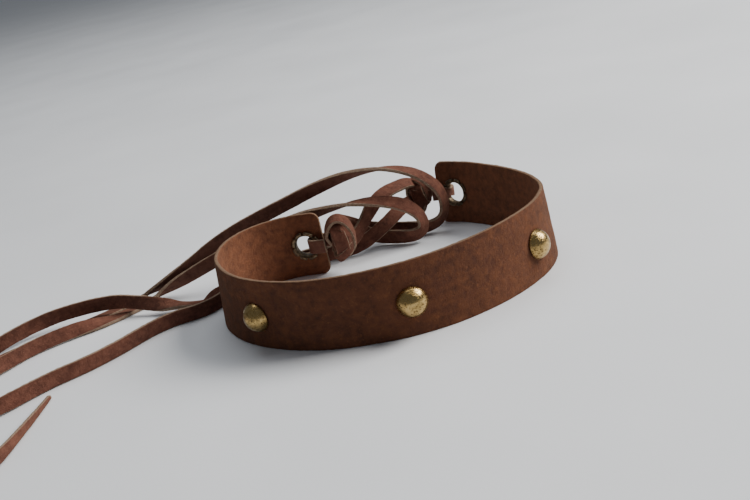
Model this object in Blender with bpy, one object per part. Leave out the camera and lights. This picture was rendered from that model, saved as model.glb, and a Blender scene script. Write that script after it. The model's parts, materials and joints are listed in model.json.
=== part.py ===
"""Studded leather headband with laced ends, in metres, +Z up.

The strip stands on its lower cut edge, bent into an open loop. The origin is the centre of the loop's
box (laces left out) on the surface that it stands on. +X runs across the loop, +Y from the studded front
to the laced back. The sizes and points below are in millimetres, and every mesh is scaled to metres as it
is made.
"""

import math

import bmesh
import bpy
from mathutils import Vector

MM = 0.001

# Brings the middle of the loop's box onto the origin
CENTRING = (0.8, 3.3, 0.0)

# Band: one strip of hide, rounded at its end corners
STRIP_HEIGHT = 28.0
STRIP_THICKNESS = 1.7
END_CORNER_RADIUS = 4.5
END_CORNER_STEPS = 6
STRIP_STEPS = 96

# The strip's middle line seen from above, left end first
PLAN = [(-23.6, 22.8), (-38.6, 26.2), (-53.7, 21.8), (-63.5, 9), (-66, -7.5), (-62, -23.5), (-54, -37.5),
        (-42, -49), (-27.5, -57), (-11.5, -60.5), (5, -60.5), (21, -56.5), (36, -49), (49, -39),
        (59.5, -26.5), (65.5, -11), (64.5, 5.5), (59, 21), (51, 35.5), (41.2, 49), (30.5, 58.3)]
# Lean: share of the strip's length, and degrees that its lower edge stands out
LEAN = [(0.0, 2), (0.1, 4), (0.2, 5), (0.32, -3), (0.42, -4), (0.58, 4), (0.72, 4), (0.88, -1), (1.0, -6)]

# Studs: domed rivets, each with a post and back cap on the inside
# Distances along the strip from its middle, and how far below mid height
STUD_PLACES = (-60.3, 0.0, 58.5)
STUD_DROP = 1.0
STUD_HOLE_RADIUS = 1.8
DOME_RADIUS = 5.8
DOME_HEIGHT = 4.8
DOME_RIM = 0.6
SOCKET_RADIUS = 1.8
SOCKET_DEPTH = 2.6
POST_RADIUS = 1.5
POST_REACH = 3.3
BACK_CAP_RADIUS = 4.2
BACK_CAP_HEIGHT = 1.2
SEAT_GAP = 0.1
BACK_SEAT_GAP = 0.35

# Eyelets, one near each end
EYELET_INSETS = (7.8, 9.6)
EYELET_BORE_RADIUS = 4.5
EYELET_WALL = 0.4
EYELET_HOLE_CLEARANCE = 0.15
EYELET_RIM_RADIUS = 6.4
EYELET_RIM_HEIGHT = 0.8
PETAL_COUNT = 8
PETAL_GAPS = (0.95, 0.6)
PETAL_HEIGHT = 0.7
NOTCH_SHARE = 0.16

# Laces: flat leather thonging
LACE_WIDTH = 6.2
LACE_THICKNESS = 1.7
LACE_CHAMFER = 0.35
LACE_STEP = 7.0
TABLE_GAP = 0.15
TIP_TAPER = 28.0
LONG_TIP_TAPER = 75.0

# A bight's route in an eyelet's own frame: towards the strip's end, outwards
BIGHT_LEFT = [(10.0, 2.6), (7.5, 3.1), (4.6, 3.2), (2.5, 2.4), (1.8, 0), (2.5, -2.9), (4.6, -3.9),
              (7.5, -4.1), (9.4, -4.1)]
BIGHT_RIGHT = [(12.2, 1.4), (10.2, 2.6), (7.6, 3.1), (5.0, 3.2), (2.85, 2.4), (2.15, 0), (2.85, -2.9),
               (5.0, -4.0), (7.4, -4.5), (9.4, -5.1)]

# Knots: centre and half sizes
KNOT_LEFT = ((-16.6, 19.2, 14.8), (6.0, 5.2, 10.4))
KNOT_RIGHT = ((22.0, 59.6, 15.2), (5.6, 4.8, 8.8))

# Tails: x, y, z of the middle of the lace, then the way that its outer face looks. Where z is too low for
# the lace to clear the table, 0 on the stretches that lie on it, it is lifted until it just clears it.
TAIL_A = [(-17.2, 25.6, 18.8, 1.0, 0.0, 0.0), (-16.3, 33.5, 18.6, 1.0, -0.1, 0.0),
          (-13.6, 39.2, 15.6, 0.85, -0.5, 0.0), (-8.8, 44.2, 11.4, 0.5, -0.85, 0.0),
          (-2.0, 47.2, 7.4, 0.2, -1.0, 0.0), (6.0, 48.4, 5.0, 0.0, -1.0, 0.0),
          (14.5, 46.8, 3.8, -0.2, -1.0, 0.0), (22.0, 43.6, 3.8, 0.1, -0.9, -0.4),
          (28.9, 41.8, 7.0, 0.7, -0.7, -0.3),
          (31.0, 41.8, 13.7, 0.8, -0.6, 0.0), (29.0, 41.2, 21.4, 0.7, -0.6, 0.4),
          (22.7, 40.0, 28.4, 0.4, -0.5, 0.8), (14.5, 38.4, 33.4, 0.1, -0.2, 1.0),
          (4.0, 37.8, 36.2, 0.0, 0.3, 0.95), (-9.0, 37.4, 36.3, 0.0, 0.7, 0.7),
          (-23.0, 37.2, 33.8, 0.0, 0.95, 0.3), (-37.0, 37.2, 30.0, 0.0, 1.0, 0.1),
          (-51.0, 37.2, 26.2, 0.0, 1.0, 0.0), (-62.0, 37.2, 22.7, 0.0, 1.0, 0.0),
          (-72.0, 37.2, 18.5, 0.0, 1.0, 0.0), (-82.0, 37.2, 13.4, 0.0, 1.0, 0.2),
          (-91.0, 37.8, 9.0, 0.0, 0.9, 0.4), (-99.0, 39.2, 5.7, 0.0, 0.6, 0.8),
          (-107.0, 40.0, 3.0, 0.0, 0.2, 1.0), (-114.5, 37.2, 0.0, 0.0, 0.0, 1.0),
          (-121.5, 32.2, 0.0, 0.0, 0.0, 1.0), (-129.0, 27.2, 0.0, 0.0, 0.0, 1.0),
          (-138.0, 22.2, 0.0, 0.0, 0.0, 1.0), (-149.0, 16.5, 0.0, 0.0, 0.0, 1.0),
          (-160.0, 9.5, 0.0, 0.0, 0.0, 1.0), (-168.0, 2.0, 0.0, 0.0, 0.0, 1.0),
          (-176.0, -6.0, 0.0, 0.0, 0.0, 1.0), (-186.0, -12.0, 0.0, 0.0, 0.0, 1.0),
          (-198.0, -16.0, 0.0, 0.0, 0.0, 1.0)]
TAIL_B = [(-14.0, 26.0, 16.6, 1.0, 0.0, 0.0), (-13.5, 33.2, 16.6, 1.0, -0.1, 0.0),
          (-11.0, 38.5, 13.0, 0.85, -0.5, 0.0), (-6.5, 42.5, 8.0, 0.5, -0.85, 0.0),
          (-1.0, 43.6, 4.6, 0.0, -1.0, 0.0), (4.4, 41.4, 3.7, -0.3, -0.95, 0.0),
          (9.8, 37.4, 3.9, -0.4, -0.9, -0.1), (15.4, 34.2, 4.4, 0.1, -0.9, -0.3),
          (19.8, 34.2, 6.6, 0.7, -0.7, -0.2),
          (18.9, 34.8, 12.8, 0.7, -0.6, 0.4), (13.4, 35.0, 18.3, 0.3, -0.75, 0.6),
          (5.4, 35.0, 21.8, 0.0, -0.5, 0.85), (-3.1, 34.6, 23.8, 0.0, -0.2, 1.0),
          (-11.8, 34.2, 24.7, 0.0, 0.3, 0.95), (-22.9, 33.9, 24.4, 0.0, 0.7, 0.7),
          (-34.2, 33.9, 22.9, 0.0, 1.0, 0.2), (-46.7, 34.2, 20.4, 0.0, 1.0, 0.0),
          (-59.9, 34.6, 17.0, 0.0, 1.0, 0.0), (-71.9, 34.8, 13.2, 0.0, 1.0, 0.0),
          (-81.8, 35.2, 9.8, 0.0, 1.0, 0.2), (-91.9, 36.0, 6.2, 0.0, 0.8, 0.6),
          (-101.0, 35.6, 2.8, 0.0, 0.3, 1.0), (-109.0, 31.6, 0.0, 0.0, 0.0, 1.0),
          (-116.5, 25.2, 0.0, 0.0, 0.0, 1.0), (-124.5, 19.4, 0.0, 0.2, -0.4, 0.9),
          (-133.0, 15.0, 0.0, 0.35, -0.75, 0.55), (-142.0, 10.0, 0.0, 0.4, -0.85, 0.3),
          (-150.5, 3.6, 0.0, 0.55, -0.8, 0.15), (-157.5, -4.6, 0.0, 0.7, -0.65, 0.3),
          (-164.5, -12.6, 0.0, 0.5, -0.5, 0.7), (-173.0, -20.0, 0.0, 0.1, -0.2, 1.0),
          (-183.0, -25.5, 0.0, 0.0, 0.0, 1.0), (-194.0, -29.0, 0.0, 0.0, 0.0, 1.0)]
TAIL_C = [(18.0, 56.0, 22.2, -0.3, -0.75, 0.6), (12.2, 50.4, 23.0, -0.3, -0.75, 0.6),
          (5.9, 45.2, 22.8, -0.3, -0.8, 0.5), (0.6, 40.8, 20.6, -0.1, -0.9, 0.3),
          (-3.6, 37.6, 16.8, 0.6, -0.8, 0.0), (-7.9, 34.8, 12.2, 0.6, -0.8, -0.1),
          (-13.4, 32.6, 8.0, 0.3, -1.0, 0.0), (-22.0, 32.8, 5.0, 0.0, -1.0, 0.0),
          (-33.5, 36.0, 3.6, 0.0, -1.0, 0.0), (-46.0, 36.6, 0.0, 0.2, -1.0, 0.0),
          (-57.2, 29.2, 0.0, 0.6, -0.8, 0.0), (-65.4, 19.4, 0.0, 0.8, -0.6, 0.0),
          (-71.8, 9.8, 0.0, 0.75, -0.65, 0.0), (-78.8, 4.2, 0.0, 0.4, -0.9, 0.0),
          (-87.0, 2.6, 0.0, 0.3, -0.95, 0.0), (-95.0, -1.6, 0.0, 0.6, -0.8, 0.0),
          (-102.2, -8.5, 0.0, 0.7, -0.7, 0.0), (-109.0, -16.0, 0.0, 0.7, -0.75, 0.0),
          (-116.0, -22.4, 0.0, 0.65, -0.75, 0.0), (-122.8, -27.6, 0.0, 0.6, -0.8, 0.05),
          (-129.8, -31.8, 0.0, 0.55, -0.85, 0.1), (-136.4, -36.8, 0.0, 0.6, -0.8, 0.1),
          (-142.4, -42.4, 0.0, 0.65, -0.75, 0.2), (-148.8, -48.2, 0.0, 0.6, -0.75, 0.3),
          (-156.5, -53.4, 0.0, 0.4, -0.6, 0.7), (-165.0, -59.6, 0.0, 0.1, -0.2, 1.0),
          (-172.5, -68.0, 0.0, 0.0, 0.0, 1.0), (-176.5, -79.0, 0.0, 0.0, 0.0, 1.0),
          (-173.0, -92.0, 0.0, 0.0, 0.0, 1.0), (-163.5, -101.0, 0.0, 0.0, 0.0, 1.0),
          (-151.6, -103.6, 0.0, 0.2, -0.3, 1.0), (-142.6, -97.6, 0.0, 0.6, -0.5, 0.6),
          (-138.6, -86.6, 0.0, 0.95, -0.25, 0.2), (-136.4, -75.2, 0.0, 0.95, -0.2, 0.1),
          (-134.6, -64.2, 0.0, 0.95, -0.2, 0.1), (-133.0, -53.6, 0.0, 0.95, -0.2, 0.1),
          (-131.8, -44.0, 0.0, 0.95, -0.2, 0.1)]
TAIL_D = [(15.2, 54.8, 13.2, 0.6, -0.5, 0.5), (10.2, 47.5, 12.4, 0.6, -0.5, 0.6),
          (5.2, 41.4, 10.9, 0.5, -0.6, 0.6), (-0.6, 38.0, 8.4, 0.3, -0.85, 0.5),
          (-7.0, 37.0, 5.5, 0.1, -1.0, 0.2), (-14.0, 37.4, 3.5, 0.1, -1.0, 0.0),
          (-23.0, 39.0, 3.4, 0.1, -1.0, 0.0),
          (-34.0, 41.6, 3.6, 0.0, -1.0, 0.0), (-47.0, 41.2, 0.0, 0.2, -1.0, 0.0),
          (-59.4, 33.4, 0.0, 0.6, -0.8, 0.0), (-67.6, 23.6, 0.0, 0.75, -0.65, 0.2),
          (-74.2, 16.0, 0.0, 0.5, -0.6, 0.6), (-81.4, 14.0, 2.8, 0.1, 0.1, 1.0),
          (-89.4, 16.6, 3.2, -0.1, 0.1, 1.0), (-98.0, 20.6, 4.2, -0.3, -0.7, 0.7),
          (-106.8, 24.8, 5.6, -0.35, -0.9, 0.1),
          (-115.8, 28.0, 6.9, -0.15, -1.0, 0.1), (-124.7, 30.0, 6.9, 0.0, -1.0, 0.1),
          (-133.5, 30.6, 6.6, 0.1, -1.0, 0.1), (-144.5, 29.6, 6.0, 0.2, -1.0, 0.1),
          (-155.0, 25.4, 5.0, 0.5, -0.85, 0.1), (-164.5, 17.0, 4.2, 0.7, -0.7, 0.1)]
# Tail D ends in a loose turn that winds inwards
TURN_CENTRE = (-193.0, 37.5)
TURN_START_ANGLE = -48.0
TURN_SWEEP = -290.0
TURN_RADII = (33.0, 18.0)
TURN_POINTS = 16


def smooth_path(points, spacing):
    """Points about `spacing` apart on a Catmull-Rom curve through `points`, every coordinate included."""
    rows = [list(point) for point in points]
    first = [2 * a - b for a, b in zip(rows[0], rows[1])]
    last = [2 * a - b for a, b in zip(rows[-1], rows[-2])]
    padded = [first] + rows + [last]
    dense = []
    for index in range(1, len(padded) - 2):
        p0, p1, p2, p3 = padded[index - 1:index + 3]
        for step in range(20):
            t = step / 20
            dense.append([0.5 * (2 * b + (c - a) * t + (2 * a - 5 * b + 4 * c - d) * t ** 2
                                 + (3 * b - a - 3 * c + d) * t ** 3)
                          for a, b, c, d in zip(p0, p1, p2, p3)])
    dense.append(rows[-1])
    place = min(3, len(rows[0]))
    travelled = [0.0]
    for before, after in zip(dense, dense[1:]):
        travelled.append(travelled[-1] + math.dist(before[:place], after[:place]))
    count = max(2, round(travelled[-1] / spacing))
    path = []
    cursor = 0
    for step in range(count + 1):
        wanted = travelled[-1] * step / count
        while cursor < len(travelled) - 2 and travelled[cursor + 1] < wanted:
            cursor += 1
        share = (wanted - travelled[cursor]) / (travelled[cursor + 1] - travelled[cursor])
        path.append([a + (b - a) * share for a, b in zip(dense[cursor], dense[cursor + 1])])
    return path


PLAN_LINE = smooth_path(PLAN, 0.5)
PLAN_STEP = sum(math.dist(a, b) for a, b in zip(PLAN_LINE, PLAN_LINE[1:])) / (len(PLAN_LINE) - 1)
STRIP_LENGTH = PLAN_STEP * (len(PLAN_LINE) - 1)
LEAN_LINE = smooth_path([(share * STRIP_LENGTH, degrees) for share, degrees in LEAN], 0.5)


def lean_at(along):
    """Lean in radians at a distance along the strip."""
    for (start, low), (end, high) in zip(LEAN_LINE, LEAN_LINE[1:]):
        if along <= end:
            return math.radians(low + (high - low) * (along - start) / (end - start))
    return math.radians(LEAN_LINE[-1][1])


def strip_frame(along):
    """Plan point, direction of travel, outward direction and lean at a distance along the strip."""
    place = min(max(along / PLAN_STEP, 0.0), len(PLAN_LINE) - 1.0)
    index = min(int(place), len(PLAN_LINE) - 2)
    share = place - index
    here = Vector(PLAN_LINE[index]).lerp(Vector(PLAN_LINE[index + 1]), share)
    low = Vector(PLAN_LINE[max(index - 3, 0)])
    high = Vector(PLAN_LINE[min(index + 4, len(PLAN_LINE) - 1)])
    travel = (high - low).normalized()
    outward = Vector((travel.y, -travel.x))
    return here, travel, outward, lean_at(along)


def strip_point(along, height, depth=0.0):
    """A point of the strip: `height` up its face, `depth` outwards from its middle."""
    here, _, outward, lean = strip_frame(along)
    sideways = outward * (math.sin(lean) * (STRIP_HEIGHT / 2 - height) + depth)
    return Vector((here.x + sideways.x, here.y + sideways.y, height * math.cos(lean)))


def fitting_frame(along, towards_end, drop=0.0):
    """Origin and axes of a fitting: along the strip, outwards from its face, up the face."""
    _, travel, outward, lean = strip_frame(along)
    origin = strip_point(along, STRIP_HEIGHT / 2 - drop)
    axis_along = Vector((travel.x, travel.y, 0)) * towards_end
    axis_out = Vector((outward.x * math.cos(lean), outward.y * math.cos(lean), math.sin(lean)))
    axis_up = Vector((-outward.x * math.sin(lean), -outward.y * math.sin(lean), math.cos(lean)))
    return origin, axis_along, axis_out, axis_up


def make_material(name, colour, roughness, metallic=0.0):
    material = bpy.data.materials.new(name)
    material.use_nodes = True
    shader = material.node_tree.nodes["Principled BSDF"]
    shader.inputs["Base Color"].default_value = (*colour, 1.0)
    shader.inputs["Roughness"].default_value = roughness
    shader.inputs["Metallic"].default_value = metallic
    material.diffuse_color = (*colour, 1.0)
    return material


def leather_material():
    return make_material("suede_leather", (0.11, 0.045, 0.022), 0.9)


def lace_material():
    return make_material("lace_leather", (0.16, 0.065, 0.04), 0.8)


def brass_material():
    return make_material("worn_brass", (0.62, 0.44, 0.16), 0.35, 1.0)


def antique_material():
    return make_material("antique_brass", (0.13, 0.10, 0.06), 0.5, 1.0)


def finish_object(name, mesh_data, material, smooth_angle=None):
    """Scale a millimetre bmesh to metres, turn its faces outwards and make the named object."""
    bmesh.ops.recalc_face_normals(mesh_data, faces=mesh_data.faces)
    if mesh_data.calc_volume(signed=True) < 0:
        bmesh.ops.reverse_faces(mesh_data, faces=mesh_data.faces)
    bmesh.ops.translate(mesh_data, vec=CENTRING, verts=mesh_data.verts)
    bmesh.ops.scale(mesh_data, vec=(MM, MM, MM), verts=mesh_data.verts)
    mesh = bpy.data.meshes.new(name)
    mesh_data.to_mesh(mesh)
    mesh_data.free()
    if smooth_angle is not None:
        mesh.shade_smooth()
        mesh.set_sharp_from_angle(angle=math.radians(smooth_angle))
    mesh.materials.append(material)
    obj = bpy.data.objects.new(name, mesh)
    bpy.context.scene.collection.objects.link(obj)
    return obj


def bridge_sections(mesh_data, sections, closed=False):
    """Skin rings of equal length; an open run is closed by a face at each end."""
    rings = [[mesh_data.verts.new(point) for point in section] for section in sections]
    pairs = list(zip(rings, rings[1:]))
    if closed:
        pairs.append((rings[-1], rings[0]))
    for ring, following in pairs:
        for index in range(len(ring)):
            after = (index + 1) % len(ring)
            mesh_data.faces.new((ring[index], ring[after], following[after], following[index]))
    if not closed:
        mesh_data.faces.new(rings[0])
        mesh_data.faces.new(rings[-1])


def band_stations():
    """Distance along the strip and corner inset, closer together on the rounded corners."""
    corner = []
    for step in range(END_CORNER_STEPS + 1):
        angle = math.radians(12 + 78 * step / END_CORNER_STEPS)
        along = END_CORNER_RADIUS * (1 - math.cos(angle - math.radians(12)))
        corner.append((along, END_CORNER_RADIUS * (1 - math.sin(angle))))
    reach = corner[-1][0]
    pitch = (STRIP_LENGTH - 2 * reach) / STRIP_STEPS
    middle = [(reach + pitch * step, 0.0) for step in range(1, STRIP_STEPS)]
    ending = [(STRIP_LENGTH - along, inset) for along, inset in reversed(corner)]
    return corner + middle + ending


def make_band(material):
    mesh_data = bmesh.new()
    half = STRIP_THICKNESS / 2
    sections = []
    for along, inset in band_stations():
        low, high = inset, STRIP_HEIGHT - inset
        sections.append([strip_point(along, low, half), strip_point(along, high, half),
                         strip_point(along, high, -half), strip_point(along, low, -half)])
    bridge_sections(mesh_data, sections)
    band = finish_object("band", mesh_data, material, 30)
    for number, along in enumerate(stud_places()):
        cut_hole(band, f"stud_cutter_{number}", fitting_frame(along, 1, STUD_DROP), STUD_HOLE_RADIUS, 20)
    for number, (along, towards_end) in enumerate(eyelet_places()):
        radius = EYELET_BORE_RADIUS + EYELET_WALL + EYELET_HOLE_CLEARANCE
        cut_hole(band, f"eyelet_cutter_{number}", fitting_frame(along, towards_end), radius, 40)
    return band


def stud_places():
    return [STRIP_LENGTH / 2 + offset for offset in STUD_PLACES]


def eyelet_places():
    return [(EYELET_INSETS[0], -1), (STRIP_LENGTH - EYELET_INSETS[1], 1)]


def revolve(frame, profile, steps, radius_at=None):
    """Turn a closed (radius, out) profile about a fitting's outward axis; radius 0 only at its ends."""
    origin, axis_along, axis_out, axis_up = frame
    mesh_data = bmesh.new()
    rings = []
    for row, (radius, out) in enumerate(profile):
        if radius == 0:
            rings.append([mesh_data.verts.new(origin + axis_out * out)])
            continue
        ring = []
        for step in range(steps):
            angle = math.tau * step / steps
            reach = radius_at(row, radius, angle) if radius_at else radius
            spoke = axis_along * math.cos(angle) + axis_up * math.sin(angle)
            ring.append(mesh_data.verts.new(origin + spoke * reach + axis_out * out))
        rings.append(ring)
    pairs = list(zip(rings, rings[1:]))
    if profile[0][0] != 0:
        pairs.append((rings[-1], rings[0]))
    for ring, following in pairs:
        for index in range(steps):
            after = (index + 1) % steps
            if len(ring) == 1:
                mesh_data.faces.new((ring[0], following[after], following[index]))
            elif len(following) == 1:
                mesh_data.faces.new((ring[index], ring[after], following[0]))
            else:
                mesh_data.faces.new((ring[index], ring[after], following[after], following[index]))
    return mesh_data


def cut_hole(target, name, frame, radius, steps):
    """Boolean a round hole through the strip along a fitting's axis."""
    reach = STRIP_THICKNESS * 2
    profile = [(0, -reach), (radius, -reach), (radius, reach), (0, reach)]
    cutter = finish_object(name, revolve(frame, profile, steps), target.data.materials[0])
    cutter.display_type = "WIRE"
    cutter.hide_render = True
    modifier = target.modifiers.new(name, "BOOLEAN")
    modifier.operation = "DIFFERENCE"
    modifier.solver = "EXACT"
    modifier.object = cutter


def make_dome(name, along, material):
    """Domed cap with a rolled rim, seated on the outer face, and a socket for the post."""
    seat = STRIP_THICKNESS / 2 + SEAT_GAP
    profile = [(0, seat + SOCKET_DEPTH), (SOCKET_RADIUS, seat + SOCKET_DEPTH), (SOCKET_RADIUS, seat),
               (DOME_RADIUS - 0.35, seat), (DOME_RADIUS, seat + 0.3)]
    for step in range(11):
        angle = math.radians(90 * step / 10)
        radius = (DOME_RADIUS - 0.05) * math.cos(angle)
        out = seat + DOME_RIM + (DOME_HEIGHT - DOME_RIM) * math.sin(angle)
        profile.append((radius if step < 10 else 0, out))
    return finish_object(name, revolve(fitting_frame(along, 1, STUD_DROP), profile, 40), material, 35)


def make_post(name, along, material):
    """Back cap on the inner face, with the post that runs out into the dome's socket."""
    seat = -STRIP_THICKNESS / 2 - BACK_SEAT_GAP
    profile = [(0, POST_REACH), (POST_RADIUS - 0.2, POST_REACH), (POST_RADIUS, POST_REACH - 0.2),
               (POST_RADIUS, seat), (BACK_CAP_RADIUS - 0.3, seat), (BACK_CAP_RADIUS, seat - 0.3)]
    for step in range(7):
        angle = math.radians(90 * step / 6)
        radius = (BACK_CAP_RADIUS - 0.1) * math.cos(angle)
        out = seat - 0.5 - (BACK_CAP_HEIGHT - 0.5) * math.sin(angle)
        profile.append((radius if step < 6 else 0, out))
    return finish_object(name, revolve(fitting_frame(along, 1, STUD_DROP), profile, 32), material, 35)


def make_eyelet(name, along, towards_end, petal_gap, material):
    """Barrel with a rounded rim outside and a rim split into rolled petals inside."""
    outer_seat = STRIP_THICKNESS / 2 + SEAT_GAP
    inner_seat = -STRIP_THICKNESS / 2 - petal_gap
    bore = EYELET_BORE_RADIUS
    wall = bore + EYELET_WALL
    rim = EYELET_RIM_RADIUS
    profile = [(wall, outer_seat), (rim - 0.2, outer_seat), (rim, outer_seat + 0.25),
               (rim - 0.3, outer_seat + 0.65), (rim - 0.9, outer_seat + EYELET_RIM_HEIGHT),
               (bore + 0.5, outer_seat + 0.55), (bore, outer_seat - 0.3),
               (bore, inner_seat + 0.4), (bore + 0.45, inner_seat - PETAL_HEIGHT + 0.15),
               (rim - 0.8, inner_seat - PETAL_HEIGHT), (rim - 0.2, inner_seat - 0.45),
               (rim, inner_seat), (wall, inner_seat + 0.05)]
    petal_rows = {9: 0.6, 10: 0.9, 11: 1.0}

    def radius_at(row, radius, angle):
        if row not in petal_rows:
            return radius
        share = (angle * PETAL_COUNT / math.tau) % 1.0
        from_notch = min(share, 1.0 - share)
        closed = max(0.0, 1.0 - from_notch / NOTCH_SHARE)
        return radius - closed * (radius - wall - 0.15) * petal_rows[row]

    frame = fitting_frame(along, towards_end)
    return finish_object(name, revolve(frame, profile, PETAL_COUNT * 8, radius_at), material, 40)


def lace_section(centre, across, face, width, thickness):
    """Chamfered rectangle across the lace."""
    half_w, half_t, cut = width / 2, thickness / 2, min(LACE_CHAMFER, width / 4)
    corners = [(half_w - cut, half_t), (half_w, half_t - cut), (half_w, cut - half_t),
               (half_w - cut, -half_t), (cut - half_w, -half_t), (-half_w, cut - half_t),
               (-half_w, half_t - cut), (cut - half_w, half_t)]
    return [centre + across * a + face * b for a, b in corners]


def sweep_lace(name, path, material, taper_length=0.0):
    """Skin a lace along (x, y, z, facing) points; a tapered end is cut to a narrow tip."""
    centres = [Vector(point[:3]) for point in path]
    total = sum((b - a).length for a, b in zip(centres, centres[1:]))
    travelled = 0.0
    sections = []
    for index, centre in enumerate(centres):
        before = centres[max(index - 1, 0)]
        after = centres[min(index + 1, len(centres) - 1)]
        along = (after - before).normalized()
        facing = Vector(path[index][3:6])
        face = (facing - along * facing.dot(along)).normalized()
        across = along.cross(face)
        if index:
            travelled += (centre - centres[index - 1]).length
        width = LACE_WIDTH
        if taper_length and total - travelled < taper_length:
            width = LACE_WIDTH * (0.25 + 0.75 * (total - travelled) / taper_length)
        lowest = abs(across.z) * width / 2 + abs(face.z) * LACE_THICKNESS / 2 + TABLE_GAP
        centre = Vector((centre.x, centre.y, max(centre.z, lowest)))
        sections.append(lace_section(centre, across, face, width, LACE_THICKNESS))
    mesh_data = bmesh.new()
    bridge_sections(mesh_data, sections)
    return finish_object(name, mesh_data, material, 50)


def make_bight(name, along, towards_end, route, material):
    """The loop of lace through an eyelet, from one side of the knot to the other."""
    origin, axis_along, axis_out, axis_up = fitting_frame(along, towards_end)
    path = []
    flat = smooth_path(route, 0.9)
    for index, (u, v) in enumerate(flat):
        before = flat[max(index - 1, 0)]
        after = flat[min(index + 1, len(flat) - 1)]
        centre = origin + axis_along * u + axis_out * v
        facing = axis_out * (after[0] - before[0]) - axis_along * (after[1] - before[1])
        path.append([*centre, *facing])
    return sweep_lace(name, path, material)


def make_knot(name, placing, material):
    """Plain rounded lump of the knot's outer size."""
    centre, half = placing
    mesh_data = bmesh.new()
    bmesh.ops.create_icosphere(mesh_data, subdivisions=3, radius=1.0)
    bmesh.ops.scale(mesh_data, vec=half, verts=mesh_data.verts)
    bmesh.ops.translate(mesh_data, vec=centre, verts=mesh_data.verts)
    return finish_object(name, mesh_data, material, 60)


def turn_points():
    """The loose turn that ends tail D, lying flat by its first quarter."""
    points = []
    for step in range(1, TURN_POINTS + 1):
        share = step / TURN_POINTS
        angle = math.radians(TURN_START_ANGLE + TURN_SWEEP * share)
        radius = TURN_RADII[0] + (TURN_RADII[1] - TURN_RADII[0]) * share
        upright = max(0.0, 1.0 - share * 5)
        points.append((TURN_CENTRE[0] + radius * math.cos(angle), TURN_CENTRE[1] + radius * math.sin(angle),
                       0.0, 0.6 * upright, -0.6 * upright, 1.0 - upright))
    return points


def make_tail(name, route, material, taper_length=TIP_TAPER):
    return sweep_lace(name, smooth_path(route, LACE_STEP), material, taper_length)


def clear_scene():
    for obj in list(bpy.data.objects):
        bpy.data.objects.remove(obj, do_unlink=True)


def build():
    clear_scene()
    leather = leather_material()
    lace = lace_material()
    brass = brass_material()
    antique = antique_material()
    make_band(leather)
    for side, along in zip(("left", "centre", "right"), stud_places()):
        make_dome(f"stud_dome_{side}", along, brass)
        make_post(f"stud_post_{side}", along, brass)
    bights = (BIGHT_LEFT, BIGHT_RIGHT)
    knots = (KNOT_LEFT, KNOT_RIGHT)
    sides = zip(("left", "right"), eyelet_places(), PETAL_GAPS, bights, knots)
    for side, (along, towards_end), petal_gap, bight, knot in sides:
        make_eyelet(f"eyelet_{side}", along, towards_end, petal_gap, antique)
        make_bight(f"lace_{side}_bight", along, towards_end, bight, lace)
        make_knot(f"lace_{side}_knot", knot, lace)
    make_tail("lace_left_tail_a", TAIL_A, lace)
    make_tail("lace_left_tail_b", TAIL_B, lace)
    make_tail("lace_right_tail_c", TAIL_C, lace, LONG_TIP_TAPER)
    make_tail("lace_right_tail_d", TAIL_D + turn_points(), lace)


build()
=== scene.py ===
"""Looks of the studded leather headband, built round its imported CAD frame.

The frame is in metres, +Z up, with its origin under the middle of the loop. The leather strip, its laces,
knots and fittings are remade here at fine detail in the places that their CAD solids hold.
"""

import json
import math

import bmesh
import bpy
from mathutils import Matrix, Vector, noise

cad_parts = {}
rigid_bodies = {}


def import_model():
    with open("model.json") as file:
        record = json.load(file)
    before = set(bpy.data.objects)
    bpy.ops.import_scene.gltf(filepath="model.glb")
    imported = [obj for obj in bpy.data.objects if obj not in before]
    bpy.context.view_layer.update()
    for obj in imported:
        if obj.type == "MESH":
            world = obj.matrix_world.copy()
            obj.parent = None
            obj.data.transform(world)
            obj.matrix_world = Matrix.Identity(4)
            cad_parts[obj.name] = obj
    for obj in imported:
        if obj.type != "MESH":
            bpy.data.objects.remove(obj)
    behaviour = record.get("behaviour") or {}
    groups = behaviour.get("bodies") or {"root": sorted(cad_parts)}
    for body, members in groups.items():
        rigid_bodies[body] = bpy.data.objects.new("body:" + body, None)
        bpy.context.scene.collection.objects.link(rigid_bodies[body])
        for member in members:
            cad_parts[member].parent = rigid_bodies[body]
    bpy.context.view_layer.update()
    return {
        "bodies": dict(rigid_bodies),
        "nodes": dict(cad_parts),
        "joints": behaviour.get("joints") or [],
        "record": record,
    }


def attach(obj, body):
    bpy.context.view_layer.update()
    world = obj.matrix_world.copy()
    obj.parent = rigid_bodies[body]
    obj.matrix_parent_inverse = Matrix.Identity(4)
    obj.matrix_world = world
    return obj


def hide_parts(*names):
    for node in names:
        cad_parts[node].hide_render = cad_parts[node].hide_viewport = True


MM = 0.001

# The band's plan is drawn about its own middle, and this brings it onto the frame's origin
CENTRING = Vector((0.0008, 0.0033, 0.0))

# Band, as in the CAD source
STRIP_HEIGHT = 0.028
STRIP_THICKNESS = 0.0017
END_CORNER_RADIUS = 0.0045

# The strip's middle line seen from above, left end first
PLAN = [(-0.0236, 0.0228), (-0.0386, 0.0262), (-0.0537, 0.0218), (-0.0635, 0.009), (-0.066, -0.0075),
        (-0.062, -0.0235), (-0.054, -0.0375), (-0.042, -0.049), (-0.0275, -0.057), (-0.0115, -0.0605),
        (0.005, -0.0605), (0.021, -0.0565), (0.036, -0.049), (0.049, -0.039), (0.0595, -0.0265),
        (0.0655, -0.011), (0.0645, 0.0055), (0.059, 0.021), (0.051, 0.0355), (0.0412, 0.049),
        (0.0305, 0.0583)]
# Lean: share of the strip's length, and degrees that its lower edge stands out
LEAN = [(0.0, 2), (0.1, 4), (0.2, 5), (0.32, -3), (0.42, -4), (0.58, 4), (0.72, 4), (0.88, -1), (1.0, -6)]

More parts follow.
